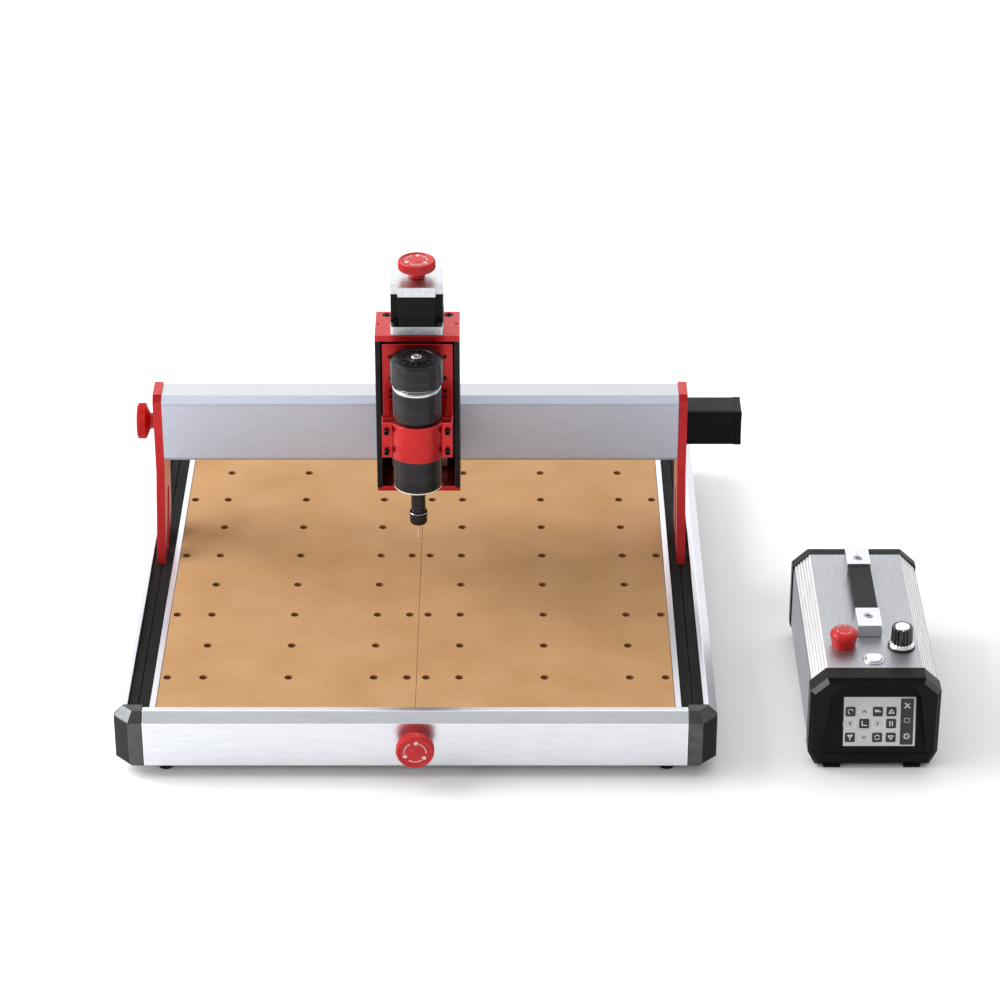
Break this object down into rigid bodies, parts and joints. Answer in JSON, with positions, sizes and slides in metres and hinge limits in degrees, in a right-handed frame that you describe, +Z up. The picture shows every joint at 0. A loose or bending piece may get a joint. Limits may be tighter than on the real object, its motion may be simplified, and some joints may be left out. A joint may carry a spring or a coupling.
{
  "type": "cnc router",
  "caption": "Desktop flat-bed CNC router with a moving gantry, screw-driven axes, a clamped spindle over a hole-grid wasteboard and a separate control box.",
  "frame": {"origin": "on the bench, at the middle of the plan box that holds the machine and its control box", "axes": "+Z up, +X to the operator's right along the gantry beam, +Y from the operator to the back"},
  "size_m": [0.861, 0.7312, 0.4598],
  "materials": {
    "silver": "bead-blasted clear anodised, satin",
    "red_anodised": "red anodised, satin",
    "red_plastic": "glossy moulded",
    "black_plastic": "fine moulded grain",
    "black_metal": "black anodised or painted, satin",
    "dark_metal": "dark satin",
    "steel": "ground",
    "mdf": "sanded fibreboard",
    "rubber": "matt",
    "screen": null
  },
  "bodies": {
    "base": {"front_beam": "silver", "rear_beam": "silver", "right_side_beam": "silver", "left_side_beam": "silver", "board_support_right": "silver", "board_support_left": "silver", "centre_support": "silver", "corner_front_right": "black_plastic", "corner_front_left": "black_plastic", "corner_rear_right": "black_plastic", "corner_rear_left": "black_plastic", "y_motor": "black_metal", "y_rail_right": "steel", "y_rail_left": "steel", "wasteboard_right": "mdf", "wasteboard_left": "mdf", "foot_front_left": "rubber", "foot_front_right": "rubber", "foot_rear_left": "rubber", "foot_rear_right": "rubber"},
    "y_screw": {"y_screw": "steel", "y_knob": "red_anodised"},
    "gantry": {"side_plate_right": "red_anodised", "side_plate_left": "red_anodised", "x_beam": "silver", "beam_cover": "silver", "x_rail_lower": "steel", "x_rail_upper": "steel", "cross_beam": "silver", "y_nut": "black_plastic", "x_motor": "black_metal"},
    "x_screw": {"x_screw": "steel", "x_knob": "red_anodised"},
    "x_carriage": {"x_saddle": "silver", "x_nut": "black_plastic", "z_column": "black_metal", "z_top_plate": "red_anodised", "z_bottom_plate": "red_anodised", "z_rail_left": "steel", "z_rail_right": "steel", "z_motor": "black_metal"},
    "z_screw": {"z_screw": "steel", "z_knob": "red_anodised"},
    "z_carriage": {"z_carriage": "red_anodised", "z_nut": "black_plastic", "clamp_rear": "red_anodised", "clamp_front": "red_anodised", "spindle_body": "dark_metal", "spindle_cap": "dark_metal"},
    "rotor": {"spindle_shaft": "dark_metal", "collet_nut": "dark_metal", "cutting_bit": "steel"},
    "control_box": {"box_housing": "silver", "box_front_bezel": "black_plastic", "box_rear_bezel": "black_plastic", "touch_screen": "screen", "carry_handle": "silver"},
    "estop": {"estop_button": "red_plastic"},
    "speed_knob": {"speed_knob": "black_plastic"},
    "push_button": {"push_button": "silver"}
  },
  "joints": [
    {"name": "y_axis", "type": "slide", "parent": "base", "child": "gantry", "axis": [0, 1, 0], "range_m": [-0.225, 0.235]},
    {"name": "y_screw_turn", "type": "hinge", "parent": "base", "child": "y_screw", "pos_m": [-0.116, -0.01415, 0.0455], "axis": [0, 1, 0], "continuous": true},
    {"name": "x_axis", "type": "slide", "parent": "gantry", "child": "x_carriage", "axis": [1, 0, 0], "range_m": [-0.23, 0.23]},
    {"name": "x_screw_turn", "type": "hinge", "parent": "gantry", "child": "x_screw", "pos_m": [-0.116, 0.03635, 0.22], "axis": [1, 0, 0], "continuous": true},
    {"name": "z_axis", "type": "slide", "parent": "x_carriage", "child": "z_carriage", "axis": [0, 0, 1], "range_m": [-0.075, 0]},
    {"name": "z_screw_turn", "type": "hinge", "parent": "x_carriage", "child": "z_screw", "pos_m": [-0.116, -0.05165, 0.22], "axis": [0, 0, 1], "continuous": true},
    {"name": "spindle_spin", "type": "hinge", "parent": "z_carriage", "child": "rotor", "pos_m": [-0.116, -0.10865, 0.2], "axis": [0, 0, 1], "continuous": true},
    {"name": "control_box_move", "type": "slide", "parent": "base", "child": "control_box", "axis": [1, 0, 0], "range_m": [-0.04, 0.15]},
    {"name": "estop_press", "type": "slide", "parent": "control_box", "child": "estop", "axis": [0, 0, 1], "range_m": [-0.005, 0], "stiffness_N_per_m": 900, "springref_m": 0.002},
    {"name": "speed_turn", "type": "hinge", "parent": "control_box", "child": "speed_knob", "pos_m": [0.394, -0.25965, 0.11], "axis": [0, 0, 1], "range_deg": [-280, 0]},
    {"name": "button_press", "type": "slide", "parent": "control_box", "child": "push_button", "axis": [0, 0, 1], "range_m": [-0.0015, 0], "stiffness_N_per_m": 500, "springref_m": 0.001}
  ],
  "couplings": [
    {"joint": "y_screw_turn", "follows": "y_axis", "rad_per_m": 1570.8},
    {"joint": "x_screw_turn", "follows": "x_axis", "rad_per_m": 1570.8},
    {"joint": "z_screw_turn", "follows": "z_axis", "rad_per_m": 3141.6}
  ]
}
